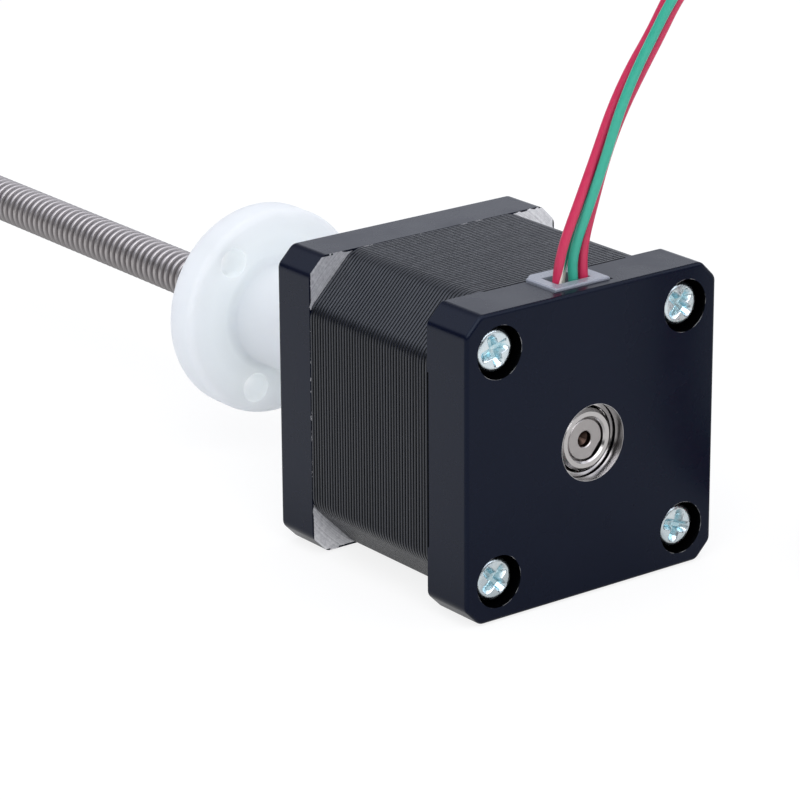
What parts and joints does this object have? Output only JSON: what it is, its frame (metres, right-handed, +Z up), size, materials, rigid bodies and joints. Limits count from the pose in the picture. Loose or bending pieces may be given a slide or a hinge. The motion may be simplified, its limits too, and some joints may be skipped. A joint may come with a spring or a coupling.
{
  "type": "external linear stepper motor",
  "caption": "Square stepper motor with a lead screw for a shaft and a flanged nut that travels along it; leads rise from the rear end.",
  "frame": {"origin": "centre of the front mounting face, on the screw's axis", "axes": "+X out along the lead screw, +Z up to the side with the leads, the motor lies on its flat underside"},
  "size_m": [0.1552, 0.0648, 0.0755],
  "materials": {
    "bell_coat": "die-cast, satin black coat",
    "lamination": "satin black on stacked sheet steel",
    "zinc_screw": "bright zinc plate",
    "bearing_steel": "ground and polished",
    "bearing_cage": "pressed strip",
    "spring_steel": "rolled strip",
    "screw_steel": "rolled stainless",
    "rotor_steel": "ground laminations",
    "magnet": "nickel plated",
    "spacer": "turned",
    "copper_wire": "enamelled wire",
    "insulator": "moulded",
    "nut_acetal": "machined, slightly translucent",
    "grommet_nylon": "moulded, slightly translucent",
    "red_white_lead": "extruded, white stripe",
    "red_lead": "extruded",
    "green_white_lead": "extruded, white stripe",
    "green_lead": "extruded",
    "lead_bundle": "wound leads"
  },
  "bodies": {
    "motor": {"front_bell": "bell_coat", "rear_bell": "bell_coat", "stator_core": "lamination", "front_insulator": "insulator", "rear_insulator": "insulator", "phase_a_windings": "copper_wire", "phase_b_windings": "copper_wire", "wave_washer": "spring_steel", "tie_screws": "zinc_screw", "lead_grommet": "grommet_nylon", "lead_coil": "lead_bundle", "lead_red_white": "red_white_lead", "lead_red": "red_lead", "lead_green_white": "green_white_lead", "lead_green": "green_lead", "rear_bearing_outer_ring": "bearing_steel", "rear_bearing_shields": "bearing_steel", "front_bearing_outer_ring": "bearing_steel", "front_bearing_shields": "bearing_steel"},
    "rotor": {"lead_screw": "screw_steel", "rotor_cup_rear": "rotor_steel", "rotor_cup_front": "rotor_steel", "rotor_magnet": "magnet", "rear_spacer": "spacer", "front_spacer": "spacer", "rear_bearing_inner_ring": "bearing_steel", "front_bearing_inner_ring": "bearing_steel"},
    "nut": {"lead_nut": "nut_acetal"},
    "rear_ball_set": {"rear_bearing_balls": "bearing_steel", "rear_bearing_cage": "bearing_cage"},
    "front_ball_set": {"front_bearing_balls": "bearing_steel", "front_bearing_cage": "bearing_cage"}
  },
  "joints": [
    {"name": "rotor_spin", "type": "hinge", "parent": "motor", "child": "rotor", "pos_m": [0, 0, 0], "axis": [1, 0, 0], "range_deg": [-20160, 2160]},
    {"name": "nut_slide", "type": "slide", "parent": "motor", "child": "nut", "axis": [1, 0, 0], "range_m": [-0.00732, 0.06828]},
    {"name": "rear_cage_spin", "type": "hinge", "parent": "motor", "child": "rear_ball_set", "pos_m": [-0.03065, 0, 0], "axis": [1, 0, 0], "range_deg": [-7420, 800]},
    {"name": "front_cage_spin", "type": "hinge", "parent": "motor", "child": "front_ball_set", "pos_m": [-0.0015, 0, 0], "axis": [1, 0, 0], "range_deg": [-7420, 800]}
  ],
  "couplings": [
    {"joint": "nut_slide", "follows": "rotor_spin", "m_per_rad": -0.00019404},
    {"joint": "rear_cage_spin", "follows": "rotor_spin", "ratio": 0.36778},
    {"joint": "front_cage_spin", "follows": "rotor_spin", "ratio": 0.36778}
  ]
}
